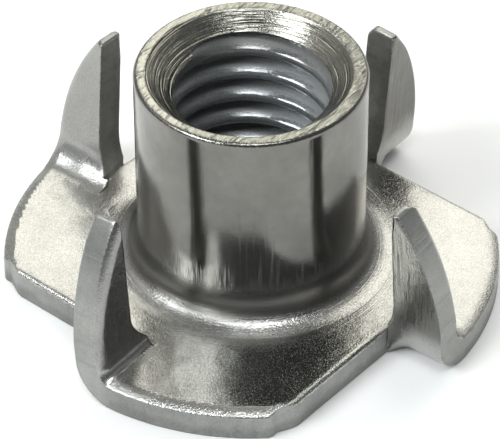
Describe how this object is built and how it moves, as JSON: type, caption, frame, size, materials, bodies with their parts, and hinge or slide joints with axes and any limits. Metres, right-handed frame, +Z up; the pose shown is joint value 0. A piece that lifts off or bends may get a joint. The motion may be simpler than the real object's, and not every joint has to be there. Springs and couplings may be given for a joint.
{
  "type": "tee nut",
  "caption": "Pronged tee nut pressed from sheet steel: a threaded barrel drawn from a round flange, with sharp prongs folded up from its rim.",
  "frame": {"origin": "centre of the flange's underside, on the barrel's axis", "axes": "+Z up the barrel's axis towards its rim, the way the prongs point; the first prong's face lies 38 degrees clockwise of +X seen from above"},
  "size_m": [0.0218, 0.0218, 0.011],
  "materials": {
    "zinc_steel": "bright zinc plating over pressed sheet steel"
  },
  "bodies": {
    "root": {"tee_nut": "zinc_steel"}
  },
  "joints": []
}
